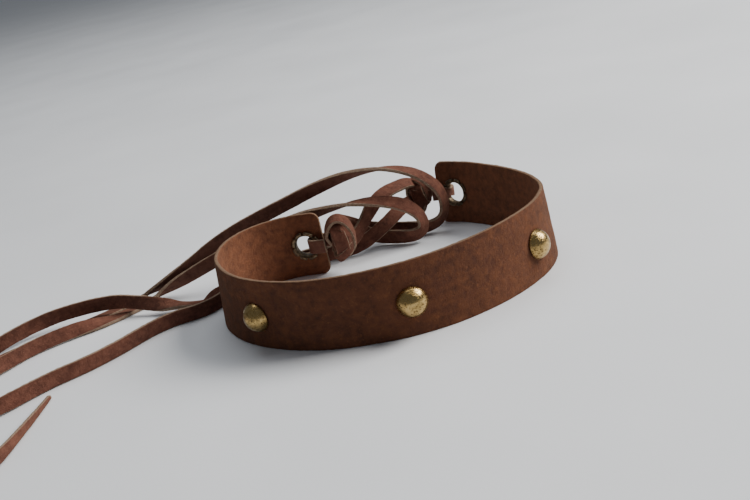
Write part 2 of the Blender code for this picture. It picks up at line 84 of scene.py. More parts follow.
# Fittings, as in the CAD source: places along the strip, radii and seats
STUD_PLACES = {"left": -0.0603, "centre": 0.0, "right": 0.0585}
STUD_DROP = 0.001
STUD_HOLE_RADIUS = 0.0018
DOME_RADIUS = 0.0058
DOME_HEIGHT = 0.0048
DOME_RIM = 0.0006
# The cap is a segment of a ball that reaches this far from its crown
DOME_ANGLE = math.radians(73)
POST_RADIUS = 0.0015
BACK_CAP_RADIUS = 0.0042
BACK_CAP_HEIGHT = 0.0012
SEAT_GAP = 0.0001
BACK_SEAT_GAP = 0.00035
EYELET_INSETS = {"left": 0.0078, "right": 0.0096}
EYELET_BORE_RADIUS = 0.0045
EYELET_HOLE_RADIUS = 0.00505
EYELET_RIM_RADIUS = 0.0064
PETAL_COUNT = 8
PETAL_GAPS = {"left": 0.00095, "right": 0.0006}
PETAL_HEIGHT = 0.0007

# Laces: flat leather thonging
LACE_WIDTH = 0.0062
LACE_THICKNESS = 0.0017
LACE_STEP = 0.0007
LACE_CORNER = 0.00042
LACE_FACE_STEPS = 6
TABLE_GAP = 0.00015
# Length over which each tail narrows to its tip, and the share of its width left at the tip
TIP_TAPERS = {"a": 0.028, "b": 0.028, "c": 0.075, "d": 0.028}
TIP_SHARE = 0.25
# Share of its width that a tail loses at its knot, and how far along that fades
ROOT_PINCH = 0.45
ROOT_PINCH_REACH = 0.005

# A bight's route in an eyelet's own frame, in millimetres: towards the strip's end, outwards
BIGHTS = {"left": [(10.0, 2.6), (7.5, 3.1), (4.6, 3.2), (2.5, 2.4), (1.8, 0), (2.5, -2.9), (4.6, -3.9),
                   (7.5, -4.1), (9.4, -4.1)],
          "right": [(12.2, 1.4), (10.2, 2.6), (7.6, 3.1), (5.4, 3.2), (3.7, 2.3), (3.1, 0), (3.7, -2.7),
                    (5.2, -4.0), (7.4, -4.5), (9.4, -5.1)]}

# Share of its width that each bight loses where its eyelet pinches it
BIGHT_PINCH = {"left": 0.05, "right": 0.42}
BIGHT_PINCH_REACH = 0.0026

# Knots: centre and half sizes
KNOTS = {"left": (Vector((-0.0166, 0.0192, 0.0148)), Vector((0.006, 0.0052, 0.0104))),
         "right": (Vector((0.022, 0.0596, 0.0152)), Vector((0.0056, 0.0048, 0.0088)))}

# Tails, as in the CAD source: x, y, z of the middle of the lace, then the way that its outer face looks
TAIL_A = [(-0.0172, 0.0256, 0.0188, 1.0, 0.0, 0.0), (-0.0163, 0.0335, 0.0186, 1.0, -0.1, 0.0),
          (-0.0136, 0.0392, 0.0156, 0.85, -0.5, 0.0), (-0.0088, 0.0442, 0.0114, 0.5, -0.85, 0.0),
          (-0.002, 0.0472, 0.0074, 0.2, -1.0, 0.0), (0.006, 0.0484, 0.005, 0.0, -1.0, 0.0),
          (0.0145, 0.0468, 0.0038, -0.2, -1.0, 0.0), (0.022, 0.0436, 0.0038, 0.1, -0.9, -0.4),
          (0.0289, 0.0418, 0.007, 0.7, -0.7, -0.3), (0.031, 0.0418, 0.0137, 0.8, -0.6, 0.0),
          (0.029, 0.0412, 0.0214, 0.7, -0.6, 0.4), (0.0227, 0.04, 0.0284, 0.4, -0.5, 0.8),
          (0.0145, 0.0384, 0.0334, 0.1, -0.2, 1.0), (0.004, 0.0378, 0.0362, 0.0, 0.3, 0.95),
          (-0.009, 0.0374, 0.0363, 0.0, 0.7, 0.7), (-0.023, 0.0372, 0.0338, 0.0, 0.95, 0.3),
          (-0.037, 0.0372, 0.03, 0.0, 1.0, 0.1), (-0.051, 0.0372, 0.0262, 0.0, 1.0, 0.0),
          (-0.062, 0.0372, 0.0227, 0.0, 1.0, 0.0), (-0.072, 0.0372, 0.0185, 0.0, 1.0, 0.0),
          (-0.082, 0.0372, 0.0134, 0.0, 1.0, 0.2), (-0.091, 0.0378, 0.009, 0.0, 0.9, 0.4),
          (-0.099, 0.0392, 0.0057, 0.0, 0.6, 0.8), (-0.107, 0.04, 0.003, 0.0, 0.2, 1.0),
          (-0.1145, 0.0372, 0.0, 0.0, 0.0, 1.0), (-0.1215, 0.0322, 0.0, 0.0, 0.0, 1.0),
          (-0.129, 0.0272, 0.0, 0.0, 0.0, 1.0), (-0.138, 0.0222, 0.0, 0.0, 0.0, 1.0),
          (-0.149, 0.0165, 0.0, 0.0, 0.0, 1.0), (-0.16, 0.0095, 0.0, 0.0, 0.0, 1.0),
          (-0.168, 0.002, 0.0, 0.0, 0.0, 1.0), (-0.176, -0.006, 0.0, 0.0, 0.0, 1.0),
          (-0.186, -0.012, 0.0, 0.0, 0.0, 1.0), (-0.198, -0.016, 0.0, 0.0, 0.0, 1.0)]
TAIL_B = [(-0.014, 0.026, 0.0166, 1.0, 0.0, 0.0), (-0.0135, 0.0332, 0.0166, 1.0, -0.1, 0.0),
          (-0.011, 0.0385, 0.013, 0.85, -0.5, 0.0), (-0.0065, 0.0425, 0.008, 0.5, -0.85, 0.0),
          (-0.001, 0.0436, 0.0046, 0.0, -1.0, 0.0), (0.0044, 0.0414, 0.0037, -0.3, -0.95, 0.0),
          (0.0098, 0.0374, 0.0039, -0.4, -0.9, -0.1), (0.0154, 0.0342, 0.0044, 0.1, -0.9, -0.3),
          (0.0198, 0.0342, 0.0066, 0.7, -0.7, -0.2), (0.0189, 0.0348, 0.0128, 0.7, -0.6, 0.4),
          (0.0134, 0.035, 0.0183, 0.3, -0.75, 0.6), (0.0054, 0.035, 0.0218, 0.0, -0.5, 0.85),
          (-0.0031, 0.0346, 0.0238, 0.0, -0.2, 1.0), (-0.0118, 0.0342, 0.0247, 0.0, 0.3, 0.95),
          (-0.0229, 0.0339, 0.0244, 0.0, 0.7, 0.7), (-0.0342, 0.0339, 0.0229, 0.0, 1.0, 0.2),
          (-0.0467, 0.0342, 0.0204, 0.0, 1.0, 0.0), (-0.0599, 0.0346, 0.017, 0.0, 1.0, 0.0),
          (-0.0719, 0.0348, 0.0132, 0.0, 1.0, 0.0), (-0.0818, 0.0352, 0.0098, 0.0, 1.0, 0.2),
          (-0.0919, 0.036, 0.0062, 0.0, 0.8, 0.6), (-0.101, 0.0356, 0.0028, 0.0, 0.3, 1.0),
          (-0.109, 0.0316, 0.0, 0.0, 0.0, 1.0), (-0.1165, 0.0252, 0.0, 0.0, 0.0, 1.0),
          (-0.1245, 0.0194, 0.0, 0.2, -0.4, 0.9), (-0.133, 0.015, 0.0, 0.35, -0.75, 0.55),
          (-0.142, 0.01, 0.0, 0.4, -0.85, 0.3), (-0.1505, 0.0036, 0.0, 0.55, -0.8, 0.15),
          (-0.1575, -0.0046, 0.0, 0.7, -0.65, 0.3), (-0.1645, -0.0126, 0.0, 0.5, -0.5, 0.7),
          (-0.173, -0.02, 0.0, 0.1, -0.2, 1.0), (-0.183, -0.0255, 0.0, 0.0, 0.0, 1.0),
          (-0.194, -0.029, 0.0, 0.0, 0.0, 1.0)]
TAIL_C = [(0.018, 0.056, 0.0222, -0.3, -0.75, 0.6), (0.0122, 0.0504, 0.023, -0.3, -0.75, 0.6),
          (0.0059, 0.0452, 0.0228, -0.3, -0.8, 0.5), (0.0006, 0.0408, 0.0206, -0.1, -0.9, 0.3),
          (-0.0036, 0.0376, 0.0168, 0.6, -0.8, 0.0), (-0.0079, 0.0348, 0.0122, 0.6, -0.8, -0.1),
          (-0.0134, 0.0326, 0.008, 0.3, -1.0, 0.0), (-0.022, 0.0328, 0.005, 0.0, -1.0, 0.0),
          (-0.0335, 0.036, 0.0036, 0.0, -1.0, 0.0), (-0.046, 0.0366, 0.0, 0.2, -1.0, 0.0),
          (-0.0572, 0.0292, 0.0, 0.6, -0.8, 0.0), (-0.0654, 0.0194, 0.0, 0.8, -0.6, 0.0),
          (-0.0718, 0.0098, 0.0, 0.75, -0.65, 0.0), (-0.0788, 0.0042, 0.0, 0.4, -0.9, 0.0),
          (-0.087, 0.0026, 0.0, 0.3, -0.95, 0.0), (-0.095, -0.0016, 0.0, 0.6, -0.8, 0.0),
          (-0.1022, -0.0085, 0.0, 0.7, -0.7, 0.0), (-0.109, -0.016, 0.0, 0.7, -0.75, 0.0),
          (-0.116, -0.0224, 0.0, 0.65, -0.75, 0.0), (-0.1228, -0.0276, 0.0, 0.6, -0.8, 0.05),
          (-0.1298, -0.0318, 0.0, 0.55, -0.85, 0.1), (-0.1364, -0.0368, 0.0, 0.6, -0.8, 0.1),
          (-0.1424, -0.0424, 0.0, 0.65, -0.75, 0.2), (-0.1488, -0.0482, 0.0, 0.6, -0.75, 0.3),
          (-0.1565, -0.0534, 0.0, 0.4, -0.6, 0.7), (-0.165, -0.0596, 0.0, 0.1, -0.2, 1.0),
          (-0.1725, -0.068, 0.0, 0.0, 0.0, 1.0), (-0.1765, -0.079, 0.0, 0.0, 0.0, 1.0),
          (-0.173, -0.092, 0.0, 0.0, 0.0, 1.0), (-0.1635, -0.101, 0.0, 0.0, 0.0, 1.0),
          (-0.1516, -0.1036, 0.0, 0.2, -0.3, 1.0), (-0.1426, -0.0976, 0.0, 0.6, -0.5, 0.6),
          (-0.1386, -0.0866, 0.0, 0.95, -0.25, 0.2), (-0.1364, -0.0752, 0.0, 0.95, -0.2, 0.1),
          (-0.1346, -0.0642, 0.0, 0.95, -0.2, 0.1), (-0.133, -0.0536, 0.0, 0.95, -0.2, 0.1),
          (-0.1318, -0.044, 0.0, 0.95, -0.2, 0.1)]
TAIL_D = [(0.0152, 0.0548, 0.0132, 0.6, -0.5, 0.5), (0.0102, 0.0475, 0.0124, 0.6, -0.5, 0.6),
          (0.0052, 0.0414, 0.0109, 0.5, -0.6, 0.6), (-0.0006, 0.038, 0.0084, 0.3, -0.85, 0.5),
          (-0.007, 0.037, 0.0055, 0.1, -1.0, 0.2), (-0.014, 0.0374, 0.0035, 0.1, -1.0, 0.0),
          (-0.023, 0.039, 0.0034, 0.1, -1.0, 0.0), (-0.034, 0.0416, 0.0036, 0.0, -1.0, 0.0),
          (-0.047, 0.0412, 0.0, 0.2, -1.0, 0.0), (-0.0594, 0.0334, 0.0, 0.6, -0.8, 0.0),
          (-0.0676, 0.0236, 0.0, 0.75, -0.65, 0.2), (-0.0742, 0.016, 0.0, 0.5, -0.6, 0.6),
          (-0.0814, 0.014, 0.0028, 0.1, 0.1, 1.0), (-0.0894, 0.0166, 0.0032, -0.1, 0.1, 1.0),
          (-0.098, 0.0206, 0.0042, -0.3, -0.7, 0.7), (-0.1068, 0.0248, 0.0056, -0.35, -0.9, 0.1),
          (-0.1158, 0.028, 0.0069, -0.15, -1.0, 0.1), (-0.1247, 0.03, 0.0069, 0.0, -1.0, 0.1),
          (-0.1335, 0.0306, 0.0066, 0.1, -1.0, 0.1), (-0.1445, 0.0296, 0.006, 0.2, -1.0, 0.1),
          (-0.155, 0.0254, 0.005, 0.5, -0.85, 0.1), (-0.1645, 0.017, 0.0042, 0.7, -0.7, 0.1)]
# Where each tail leaves the winding of its knot
TAIL_ROOTS = {"a": (-0.0170, 0.0214, 0.0188), "b": (-0.0141, 0.0219, 0.0166), "c": (0.0212, 0.0590, 0.0198),
              "d": (0.0192, 0.0588, 0.0140)}
# Tail D ends in a loose turn that winds inwards
TURN_CENTRE = (-0.193, 0.0375)
TURN_START_ANGLE = -48.0
TURN_SWEEP = -290.0
TURN_RADII = (0.033, 0.018)
TURN_POINTS = 16

# Camera: place, degrees below level, roll and lens in millimetres
CAMERA_PLACE = Vector((-0.0027, -0.3967, 0.1507))
CAMERA_DOWN = 18.94
CAMERA_ROLL = -12.83
CAMERA_LENS = 50.5


def smooth_path(points, spacing):
    """Points about `spacing` apart on a Catmull-Rom curve through `points`, every coordinate included."""
    rows = [list(point) for point in points]
    first = [2 * a - b for a, b in zip(rows[0], rows[1])]
    last = [2 * a - b for a, b in zip(rows[-1], rows[-2])]
    padded = [first] + rows + [last]
    dense = []
    for index in range(1, len(padded) - 2):
        p0, p1, p2, p3 = padded[index - 1:index + 3]
        for step in range(20):
            t = step / 20
            dense.append([0.5 * (2 * b + (c - a) * t + (2 * a - 5 * b + 4 * c - d) * t ** 2
                                 + (3 * b - a - 3 * c + d) * t ** 3)
                          for a, b, c, d in zip(p0, p1, p2, p3)])
    dense.append(rows[-1])
    place = min(3, len(rows[0]))
    travelled = [0.0]
    for before, after in zip(dense, dense[1:]):
        travelled.append(travelled[-1] + math.dist(before[:place], after[:place]))
    count = max(2, round(travelled[-1] / spacing))
    path = []
    cursor = 0
    for step in range(count + 1):
        wanted = travelled[-1] * step / count
        while cursor < len(travelled) - 2 and travelled[cursor + 1] < wanted:
            cursor += 1
        share = (wanted - travelled[cursor]) / (travelled[cursor + 1] - travelled[cursor])
        path.append([a + (b - a) * share for a, b in zip(dense[cursor], dense[cursor + 1])])
    return path


def relaxed(path, passes=24):
    """The same path with its tightest turns eased, as leather eases them; its two ends stay."""
    for _ in range(passes):
        middle = [[(a + 2 * b + c) / 4 for a, b, c in zip(before, here, after)]
                  for before, here, after in zip(path, path[1:], path[2:])]
        path = [path[0]] + middle + [path[-1]]
    return path


PLAN_LINE = smooth_path(PLAN, 0.5 * MM)
PLAN_STEP = sum(math.dist(a, b) for a, b in zip(PLAN_LINE, PLAN_LINE[1:])) / (len(PLAN_LINE) - 1)
STRIP_LENGTH = PLAN_STEP * (len(PLAN_LINE) - 1)
LEAN_LINE = smooth_path([(share * STRIP_LENGTH, degrees) for share, degrees in LEAN], 0.5 * MM)


def lean_at(along):
    """Lean in radians at a distance along the strip."""
    for (start, low), (end, high) in zip(LEAN_LINE, LEAN_LINE[1:]):
        if along <= end:
            return math.radians(low + (high - low) * (along - start) / (end - start))
    return math.radians(LEAN_LINE[-1][1])


def strip_frame(along):
    """Point at mid height, direction of travel, outward direction and lean at a distance along the strip."""
    place = min(max(along / PLAN_STEP, 0.0), len(PLAN_LINE) - 1.0)
    index = min(int(place), len(PLAN_LINE) - 2)
    here = Vector(PLAN_LINE[index]).lerp(Vector(PLAN_LINE[index + 1]), place - index)
    low = Vector(PLAN_LINE[max(index - 3, 0)])
    high = Vector(PLAN_LINE[min(index + 4, len(PLAN_LINE) - 1)])
    travel = (high - low).normalized().to_3d()
    outward = Vector((travel.y, -travel.x, 0.0))
    lean = lean_at(along)
    middle = Vector((here.x, here.y, STRIP_HEIGHT / 2 * math.cos(lean))) + CENTRING
    return middle, travel, outward, lean


def fitting_frame(along, towards_end=1, drop=0.0):
    """Origin and axes of a fitting: along the strip, outwards from its face, up the face."""
    middle, travel, outward, lean = strip_frame(along)
    axis_out = outward * math.cos(lean) + Vector((0, 0, math.sin(lean)))
    axis_up = Vector((0, 0, math.cos(lean))) - outward * math.sin(lean)
    return middle - axis_up * drop, travel * towards_end, axis_out, axis_up


def stud_frame(side):
    return fitting_frame(STRIP_LENGTH / 2 + STUD_PLACES[side], 1, STUD_DROP)


def eyelet_frame(side):
    if side == "left":
        return fitting_frame(EYELET_INSETS[side], -1)
    return fitting_frame(STRIP_LENGTH - EYELET_INSETS[side], 1)


# ---- Node materials -------------------------------------------------------------------------------

def add_node(tree, kind, inputs=(), **settings):
    """A shader node with its settings and inputs; a socket among the inputs is linked, others are values."""
    made = tree.nodes.new("ShaderNode" + kind)
    for name, value in settings.items():
        setattr(made, name, value)
    for name, value in dict(inputs).items():
        if isinstance(value, bpy.types.NodeSocket):
            tree.links.new(value, made.inputs[name])
        else:
            made.inputs[name].default_value = value
    return made


def mix_colour(tree, factor, first, second):
    """One colour turning into another as the factor goes from 0 to 1."""
    made = tree.nodes.new("ShaderNodeMix")
    made.data_type = "RGBA"
    for index, value in ((0, factor), (6, first), (7, second)):
        if isinstance(value, bpy.types.NodeSocket):
            tree.links.new(value, made.inputs[index])
        else:
            made.inputs[index].default_value = value if index == 0 else (*value, 1.0)
    return made.outputs[2]


def noise_value(tree, vector, scale, detail=3.0, roughness=0.55, low=0.0, high=1.0, start=0.3, end=0.7):
    """Noise at `scale` per metre, stretched so that start to end becomes low to high."""
    made = add_node(tree, "TexNoise", {"Vector": vector, "Scale": scale, "Detail": detail,
                                       "Roughness": roughness})
    return ramp(tree, made.outputs["Fac"], start, end, low, high)


def ramp(tree, value, start, end, low=0.0, high=1.0):
    """Start to end become low to high, and hold beyond them."""
    made = add_node(tree, "MapRange", {"Value": value, "From Min": start, "From Max": end, "To Min": low,
                                       "To Max": high})
    return made.outputs["Result"]


def combine(tree, operation, first, second):
    """Arithmetic on two values, each a socket or a number."""
    made = tree.nodes.new("ShaderNodeMath")
    made.operation = operation
    for index, value in enumerate((first, second)):
        if isinstance(value, bpy.types.NodeSocket):
            tree.links.new(value, made.inputs[index])
        else:
            made.inputs[index].default_value = value
    return made.outputs[0]


def stretched(tree, vector, scale):
    return add_node(tree, "Mapping", {"Vector": vector, "Scale": scale}).outputs["Vector"]


def start_material(name):
    material = bpy.data.materials.new(name)
    material.use_nodes = True
    tree = material.node_tree
    shader = tree.nodes["Principled BSDF"]
    place = tree.nodes.new("ShaderNodeTexCoord").outputs["Object"]
    return material, tree, shader, place


def set_values(shader, **values):
    for name, value in values.items():
        shader.inputs[name.replace("_", " ")].default_value = value


def set_bump(tree, shader, height, distance):
    """Fine relief, with its height at full scale in metres."""
    bump = add_node(tree, "Bump", {"Height": height, "Distance": distance, "Strength": 1.0})
    tree.links.new(bump.outputs["Normal"], shader.inputs["Normal"])


def leather_material(name, tones, cut_tones, inner_tone, cut_end, nap_scale, streak):
    """Napped leather: mottled faces of three tones, an inner side nearer to inner_tone, and paler fibrous
    edges where `cut` nears cut_end. Noise scales are per metre."""
    material, tree, shader, place = start_material(name)
    dark, middle, light = tones
    along = add_node(tree, "UVMap", uv_map="strip").outputs["UV"]
    streaks = stretched(tree, along, streak)
    blotches = noise_value(tree, place, 55, 4, 0.6, start=0.36, end=0.66)
    mottle = noise_value(tree, place, 330, 6, 0.7, start=0.36, end=0.66)
    brushed = noise_value(tree, streaks, 1.0, 4, 0.6, start=0.35, end=0.68)
    nap = noise_value(tree, place, nap_scale, 4, 0.7, start=0.3, end=0.72)
    specks = noise_value(tree, place, nap_scale * 0.4, 3, 0.6, start=0.60, end=0.70)
    colour = mix_colour(tree, blotches, dark, middle)
    colour = mix_colour(tree, combine(tree, "MULTIPLY", mottle, 0.55), colour, light)
    colour = mix_colour(tree, combine(tree, "MULTIPLY", brushed, 0.35), colour, dark)
    colour = mix_colour(tree, combine(tree, "MULTIPLY", nap, 0.5), colour, middle)
    colour = mix_colour(tree, combine(tree, "MULTIPLY", specks, 0.4), colour, light)
    inner = add_node(tree, "Attribute", attribute_name="inner").outputs["Fac"]
    flesh = combine(tree, "MULTIPLY", inner, ramp(tree, mottle, 0, 1, 0.2, 0.52))
    colour = mix_colour(tree, flesh, colour, inner_tone)
    cut = ramp(tree, add_node(tree, "Attribute", attribute_name="cut").outputs["Fac"], 0.0, cut_end)
    fibres = noise_value(tree, place, 1500, 3, 0.6)
    cut_colour = mix_colour(tree, fibres, cut_tones[0], cut_tones[1])
    ragged = combine(tree, "MULTIPLY", cut, noise_value(tree, place, 420, 3, 0.6, 0.72, 1.0))
    tree.links.new(mix_colour(tree, ragged, colour, cut_colour), shader.inputs["Base Color"])
    tree.links.new(ramp(tree, mottle, 0, 1, 0.82, 0.97), shader.inputs["Roughness"])
    set_values(shader, Specular_IOR_Level=0.12, Sheen_Weight=0.14, Sheen_Roughness=0.45,
               Sheen_Tint=(0.75, 0.46, 0.28, 1.0))
    relief = combine(tree, "ADD", combine(tree, "MULTIPLY", nap, 0.5), combine(tree, "MULTIPLY", mottle, 0.8))
    loose_ends = combine(tree, "MULTIPLY", fibres, combine(tree, "MULTIPLY", cut, 0.8))
    relief = combine(tree, "ADD", relief, loose_ends)
    set_bump(tree, shader, relief, 0.00022)
    return material


def brass_material():
    """Worn brass: polished crown with dark pitting and dull patches."""
    material, tree, shader, place = start_material("worn_brass")
    cloud = noise_value(tree, place, 420, 4, 0.6, start=0.4, end=0.62)
    pits = noise_value(tree, place, 1700, 3, 0.65, start=0.52, end=0.62)
    specks = combine(tree, "MULTIPLY", pits, ramp(tree, cloud, 0, 1, 0.3, 1.0))
    colour = mix_colour(tree, cloud, (0.51, 0.35, 0.14), (0.38, 0.255, 0.095))
    colour = mix_colour(tree, specks, colour, (0.09, 0.052, 0.018))
    tree.links.new(colour, shader.inputs["Base Color"])
    rough = combine(tree, "ADD", ramp(tree, cloud, 0, 1, 0.16, 0.30), combine(tree, "MULTIPLY", specks, 0.35))
    tree.links.new(rough, shader.inputs["Roughness"])
    set_values(shader, Metallic=1.0)
    set_bump(tree, shader, combine(tree, "MULTIPLY", specks, -0.6), 0.00006)
    return material


def antique_material():
    """Antique brass: dark patina rubbed through to metal in places."""
    material, tree, shader, place = start_material("antique_brass")
    rubbed = noise_value(tree, place, 900, 4, 0.65, start=0.5, end=0.7)
    cloud = noise_value(tree, place, 300, 3, 0.6)
    colour = mix_colour(tree, cloud, (0.075, 0.055, 0.035), (0.15, 0.11, 0.07))
    colour = mix_colour(tree, combine(tree, "MULTIPLY", rubbed, 0.7), colour, (0.42, 0.32, 0.19))
    tree.links.new(colour, shader.inputs["Base Color"])
    tree.links.new(ramp(tree, cloud, 0, 1, 0.34, 0.55), shader.inputs["Roughness"])
    set_values(shader, Metallic=0.9)
    set_bump(tree, shader, rubbed, 0.00005)
    return material


def table_material():
    """Pale laminate with a soft gloss and the faintest clouding."""
    material, tree, shader, place = start_material("pale_table")
    cloud = noise_value(tree, place, 9, 3, 0.5)
    grain = noise_value(tree, place, 900, 2, 0.5)
    colour = mix_colour(tree, cloud, (0.765, 0.785, 0.81), (0.805, 0.825, 0.85))
    tree.links.new(colour, shader.inputs["Base Color"])
    tree.links.new(ramp(tree, cloud, 0, 1, 0.42, 0.5), shader.inputs["Roughness"])
    set_bump(tree, shader, grain, 0.00001)
    return material


# ---- Meshes ---------------------------------------------------------------------------------------

def make_object(name, verts, faces, material, cut=None, uvs=None, inner=None):
    """A smooth-shaded mesh, with the attributes and strip coordinates that its leather reads."""
    mesh = bpy.data.meshes.new(name)
    mesh.from_pydata(verts, [], faces)
    if cut is not None:
        mesh.attributes.new("cut", "FLOAT", "POINT").data.foreach_set("value", cut)
        mesh.attributes.new("inner", "FLOAT", "POINT").data.foreach_set("value", inner)
    if uvs is not None:
        layer = mesh.uv_layers.new(name="strip")
        for loop in mesh.loops:
            layer.data[loop.index].uv = uvs[loop.vertex_index]
    mesh.shade_smooth()
    mesh.materials.append(material)
    obj = bpy.data.objects.new(name, mesh)
    bpy.context.scene.collection.objects.link(obj)
    outwards(mesh)
    return obj


def outwards(mesh):
    """Turn every face to look out of the closed mesh."""
    work = bmesh.new()
    work.from_mesh(mesh)
    bmesh.ops.recalc_face_normals(work, faces=work.faces)
    if work.calc_volume(signed=True) < 0:
        bmesh.ops.reverse_faces(work, faces=work.faces)
    work.to_mesh(mesh)
    work.free()


def place_piece(obj, slot, *nodes):
    """Ride on the one body and stand for the CAD nodes; slot is not used."""
    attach(obj, "root")
    if nodes:
        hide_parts(*nodes)
    return obj


# Round each edge of a strip: degrees turned from its face, which face, and how far that point is cut edge
EDGE_TURNS = ((30, 1, 0.0), (60, 1, 0.55), (90, 1, 1.0), (90, -1, 1.0), (60, -1, 0.55), (30, -1, 0.0))


def strip_profile(width, thickness, radius, face_steps):
    """(across, through, cut) points round a strip's section with softened corners."""
    radius = min(radius, width / 2.2, thickness / 2.05)
    points = []
    for sign in (1, -1):
        reach = width / 2 - radius
        for step in range(face_steps + 1):
            points.append((sign * reach * (1 - 2 * step / face_steps), sign * thickness / 2, 0.0))
        for turn, through_sign, share in EDGE_TURNS:
            angle = math.radians(turn)
            across = reach + radius * math.sin(angle)
            through = through_sign * (thickness / 2 - radius + radius * math.cos(angle))
            points.append((-sign * across, sign * through, share))
    return points


def sweep_strip(name, stations, material, face_steps, radius):
    """Skin stations of (centre, across, face, width, thickness, distance along) and close the two ends."""
    verts, faces, cut, uvs, inner = [], [], [], [], []
    ends = (0, len(stations) - 1)
    ring_size = 0
    for index, (centre, across, face, width, thickness, along) in enumerate(stations):
        profile = strip_profile(width, thickness, radius, face_steps)
        ring_size = len(profile)
        for a, b, is_cut in profile:
            verts.append(centre + across * a + face * b)
            cut.append(1.0 if index in ends else is_cut)
            inner.append(1.0 if b < 0 else 0.0)
            uvs.append((along, a))
    for index in range(len(stations) - 1):
        base = index * ring_size
        for corner in range(ring_size):
            after = (corner + 1) % ring_size
            faces.append((base + corner, base + after, base + ring_size + after, base + ring_size + corner))
    faces.append(tuple(range(ring_size)))
    faces.append(tuple(range(len(verts) - ring_size, len(verts))))
    return make_object(name, verts, faces, material, cut, uvs, inner)


def ruffle(obj, amplitude, size, seed, on_cut=1.0):
    """Push each point along its normal by smooth noise; cut edges move on_cut times as far."""
    mesh = obj.data
    cut = [0.0] * len(mesh.vertices)
    mesh.attributes["cut"].data.foreach_get("value", cut)
    shift = Vector((seed, seed * 0.37, -seed))
    normals = [vertex.normal.copy() for vertex in mesh.vertices]
    for vertex, normal, is_cut in zip(mesh.vertices, normals, cut):
        share = 1.0 + (on_cut - 1.0) * is_cut
        vertex.co += normal * (amplitude * share * noise.fractal(vertex.co / size + shift, 1.0, 2.0, 3))
    mesh.update()


def lace_stations(path, taper=0.0, wobble_seed=0.0, width=LACE_WIDTH, thickness=LACE_THICKNESS):
    """Stations along (x, y, z, facing) points, lifted clear of the table, with hand-cut width and, where
    there is a taper, a tip that narrows over that length."""
    centres = [Vector(point[:3]) for point in path]
    total = sum((b - a).length for a, b in zip(centres, centres[1:]))
    along = 0.0
    stations = []
    for index, centre in enumerate(centres):
        before = centres[max(index - 1, 0)]
        after = centres[min(index + 1, len(centres) - 1)]
        heading = (after - before).normalized()
        facing = Vector(path[index][3:6])
        face = (facing - heading * facing.dot(heading)).normalized()
        across = heading.cross(face)
        if index:
            along += (centre - centres[index - 1]).length
        here = width
        if taper and total - along < taper:
            here *= TIP_SHARE + (1 - TIP_SHARE) * (total - along) / taper
        lowest = abs(across.z) * here / 2 + abs(face.z) * thickness / 2 + TABLE_GAP
        centre = Vector((centre.x, centre.y, max(centre.z, lowest)))
        here *= 0.985 + 0.03 * noise.noise(Vector((along / 0.009, wobble_seed, 0.0)))
        stations.append((centre, across, face, here, thickness, along))
    return stations


def pinched(station, share, distance, reach):
    """The station narrowed by a share of its width, fading with its distance from the pinch."""
    centre, across, face, width, thickness, along = station
    return centre, across, face, width * (1.0 - share * math.exp(-(distance / reach) ** 2)), thickness, along


def turned(name, frame, profile, steps, material, radius_at=None):
    """Turn a closed (radius, out) profile about a fitting's outward axis; radius 0 only at its ends."""
    origin, axis_along, axis_out, axis_up = frame
    verts, faces, rings = [], [], []
    for row, (radius, out) in enumerate(profile):
        count = steps if radius > 0 else 1
        rings.append([len(verts) + step for step in range(count)])
        for step in range(count):
            angle = math.tau * step / steps
            reach = radius_at(out, radius, angle) if radius_at else radius
            verts.append(origin + (axis_along * math.cos(angle) + axis_up * math.sin(angle)) * reach
                         + axis_out * out)
    pairs = list(zip(rings, rings[1:]))
    if profile[0][0] > 0:
        pairs.append((rings[-1], rings[0]))
    for ring, following in pairs:
        for step in range(steps):
            after = (step + 1) % steps
            corners = [ring[step % len(ring)], ring[after % len(ring)],
                       following[after % len(following)], following[step % len(following)]]
            faces.append(tuple(dict.fromkeys(corners)))
    return make_object(name, verts, faces, material)


def dent(obj, amplitude, size, seed):
    """Shallow knocks in a metal piece."""
    shift = Vector((seed, -seed, seed * 0.5))
    normals = [vertex.normal.copy() for vertex in obj.data.vertices]
    for vertex, normal in zip(obj.data.vertices, normals):
        vertex.co += normal * (amplitude * noise.noise(vertex.co / size + shift))
    obj.data.update()


# ---- Stage ----------------------------------------------------------------------------------------

def make_camera():
    """Turn down from level, roll and place the camera, with no shift and no depth of field."""
    data = bpy.data.cameras.new("camera")
    data.lens = CAMERA_LENS
    data.sensor_width = 36.0
    data.clip_start = 0.01
    data.clip_end = 60.0
    camera = bpy.data.objects.new("camera", data)
    bpy.context.scene.collection.objects.link(camera)
    tilt = Matrix.Rotation(math.radians(90.0 - CAMERA_DOWN), 4, "X")
    roll = Matrix.Rotation(math.radians(CAMERA_ROLL), 4, "Z")
    camera.matrix_world = Matrix.Translation(CAMERA_PLACE) @ tilt @ roll
    bpy.context.scene.camera = camera


def make_light(name, place, size, power, colour):
    """A square soft box aimed at the middle of the loop."""
    data = bpy.data.lights.new(name, "AREA")
    data.shape = "SQUARE"
    data.size = size
    data.energy = power
    data.color = colour
    light = bpy.data.objects.new(name, data)
    bpy.context.scene.collection.objects.link(light)
    light.location = place
    light.rotation_euler = Vector(place).to_track_quat("Z", "Y").to_euler()


def make_world():
    """Even, faintly cool light from all round."""
    world = bpy.data.worlds.new("studio")
    world.use_nodes = True
    background = world.node_tree.nodes["Background"]
    background.inputs["Color"].default_value = (0.63, 0.665, 0.72, 1.0)
    background.inputs["Strength"].default_value = 0.25
    bpy.context.scene.world = world


def make_table(material):
    """A square plane 40 m across, at the height of the frame's floor."""
    half = 20.0
    verts = [(-half, -half, 0), (half, -half, 0), (half, half, 0), (-half, half, 0)]
    table = make_object("table", verts, [(0, 1, 2, 3)], material)


# ---- Band -----------------------------------------------------------------------------------------

